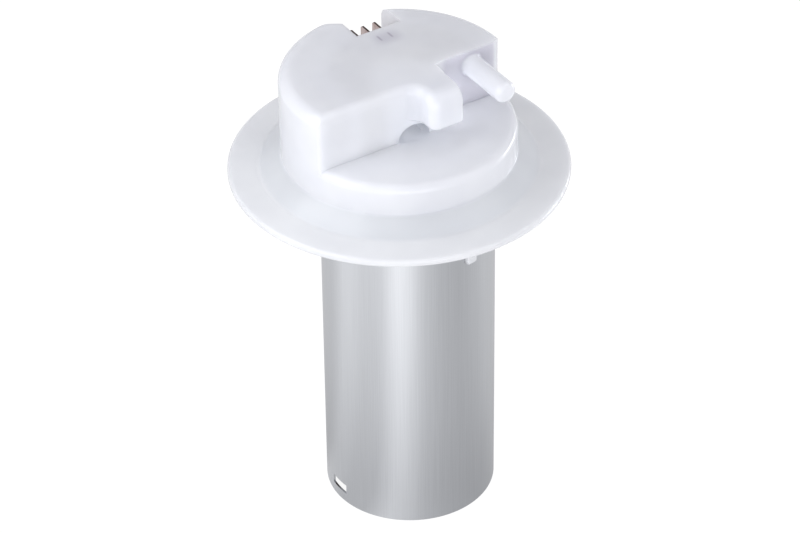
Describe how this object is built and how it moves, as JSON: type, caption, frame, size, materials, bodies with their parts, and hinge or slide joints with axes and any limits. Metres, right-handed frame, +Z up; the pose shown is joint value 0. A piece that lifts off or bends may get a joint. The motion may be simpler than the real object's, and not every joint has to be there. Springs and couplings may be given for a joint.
{
  "type": "fuel level sender",
  "caption": "Fuel level sender with a moulded flanged head, a blade connector pocket, a blind spigot and a float that slides on rods inside a metal tube.",
  "frame": {"origin": "under the flange centre, on the level of the tube's lower rim", "axes": "+Z up along the tube to the head, +Y out of the connector pocket, -Y along the spigot"},
  "size_m": [0.126, 0.126, 0.1865],
  "materials": {
    "natural_nylon": "moulded, faintly translucent, semi-gloss",
    "tube_aluminium": "drawn, satin",
    "phenolic": "pressed laminate, matt",
    "zinc_steel": "zinc plated",
    "rod_steel": "ground, bright",
    "tinned_brass": "stamped, dull tarnish",
    "brass": "stamped",
    "spring_bronze": "rolled spring temper",
    "resistance_wire": "drawn",
    "rubber": "moulded, matt",
    "float_foam": "closed cell foam, skinned",
    "acetal": "moulded",
    "acetal_black": "moulded"
  },
  "bodies": {
    "housing": {"head": "natural_nylon", "outer_tube": "tube_aluminium", "upper_plate": "phenolic", "lower_plate": "phenolic", "plate_screws": "zinc_steel", "terminal_sender": "tinned_brass", "terminal_warning": "tinned_brass", "terminal_ground": "tinned_brass", "bus_strip_sender": "brass", "bus_strip_warning": "brass", "bus_strip_ground": "brass", "guide_rod_front": "rod_steel", "guide_rod_rear": "rod_steel", "rod_clips": "zinc_steel", "reserve_rod": "rod_steel", "resistance_wire_sender": "resistance_wire", "resistance_wire_ground": "resistance_wire", "tension_leaf_sender": "spring_bronze", "tension_leaf_ground": "spring_bronze", "leaf_rivets": "brass", "lower_stop": "rubber", "upper_bumpers": "rubber"},
    "float_assembly": {"float": "float_foam", "float_guide": "acetal", "float_retainer": "acetal_black", "contact_bridge": "spring_bronze"}
  },
  "joints": [
    {"name": "float_slide", "type": "slide", "parent": "housing", "child": "float_assembly", "axis": [0, 0, 1], "range_m": [0, 0.0834]}
  ]
}
